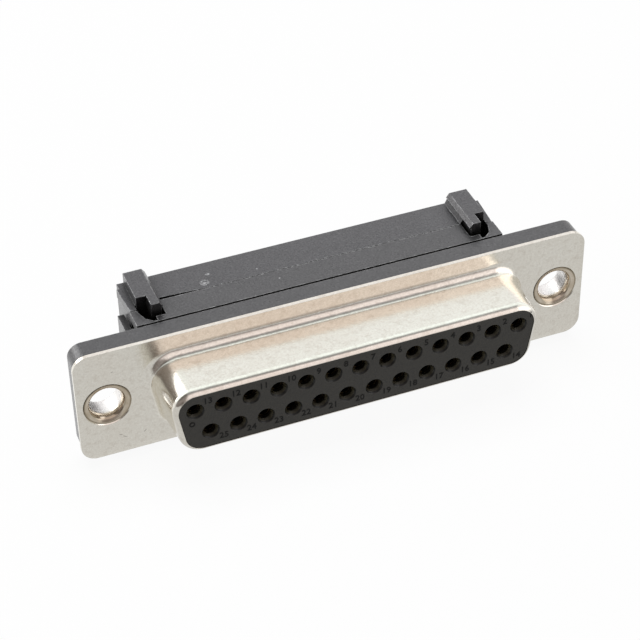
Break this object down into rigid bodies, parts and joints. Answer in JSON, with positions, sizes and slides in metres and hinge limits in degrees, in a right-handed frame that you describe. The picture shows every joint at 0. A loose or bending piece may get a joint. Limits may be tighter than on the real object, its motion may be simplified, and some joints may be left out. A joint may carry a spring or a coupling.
{
  "type": "ribbon cable d-sub socket",
  "caption": "D-shaped metal-shelled socket for flat ribbon cable, with flanged mounting holes, two rows of contact holes and a press-on cable cover.",
  "frame": {"origin": "centre of the flange's front face, midway between the two mounting holes", "axes": "+X along the connector's length, -Y out of the mating face, +Z towards the longer contact row"},
  "size_m": [0.053, 0.0156, 0.0146],
  "materials": {
    "shell_plate": "bright tin-plated drawn steel",
    "eyelet_plate": "bright tin-plated, polished bore",
    "insulator_plastic": "satin moulded, glass-filled",
    "cover_plastic": "satin moulded, glass-filled",
    "contact_plate": "thin gold plate over copper alloy"
  },
  "bodies": {
    "connector": {"shell": "shell_plate", "front_insulator": "insulator_plastic", "rear_insulator": "insulator_plastic", "mounting_eyelet_left": "eyelet_plate", "mounting_eyelet_right": "eyelet_plate", "contact_01": "contact_plate", "contact_02": "contact_plate", "contact_03": "contact_plate", "contact_04": "contact_plate", "contact_05": "contact_plate", "contact_06": "contact_plate", "contact_07": "contact_plate", "contact_08": "contact_plate", "contact_09": "contact_plate", "contact_10": "contact_plate", "contact_11": "contact_plate", "contact_12": "contact_plate", "contact_13": "contact_plate", "contact_14": "contact_plate", "contact_15": "contact_plate", "contact_16": "contact_plate", "contact_17": "contact_plate", "contact_18": "contact_plate", "contact_19": "contact_plate", "contact_20": "contact_plate", "contact_21": "contact_plate", "contact_22": "contact_plate", "contact_23": "contact_plate", "contact_24": "contact_plate", "contact_25": "contact_plate"},
    "cover": {"cable_cover": "cover_plastic"}
  },
  "joints": [
    {"name": "cover_slide", "type": "slide", "parent": "connector", "child": "cover", "axis": [0, 1, 0], "range_m": [0, 0.0026]}
  ]
}
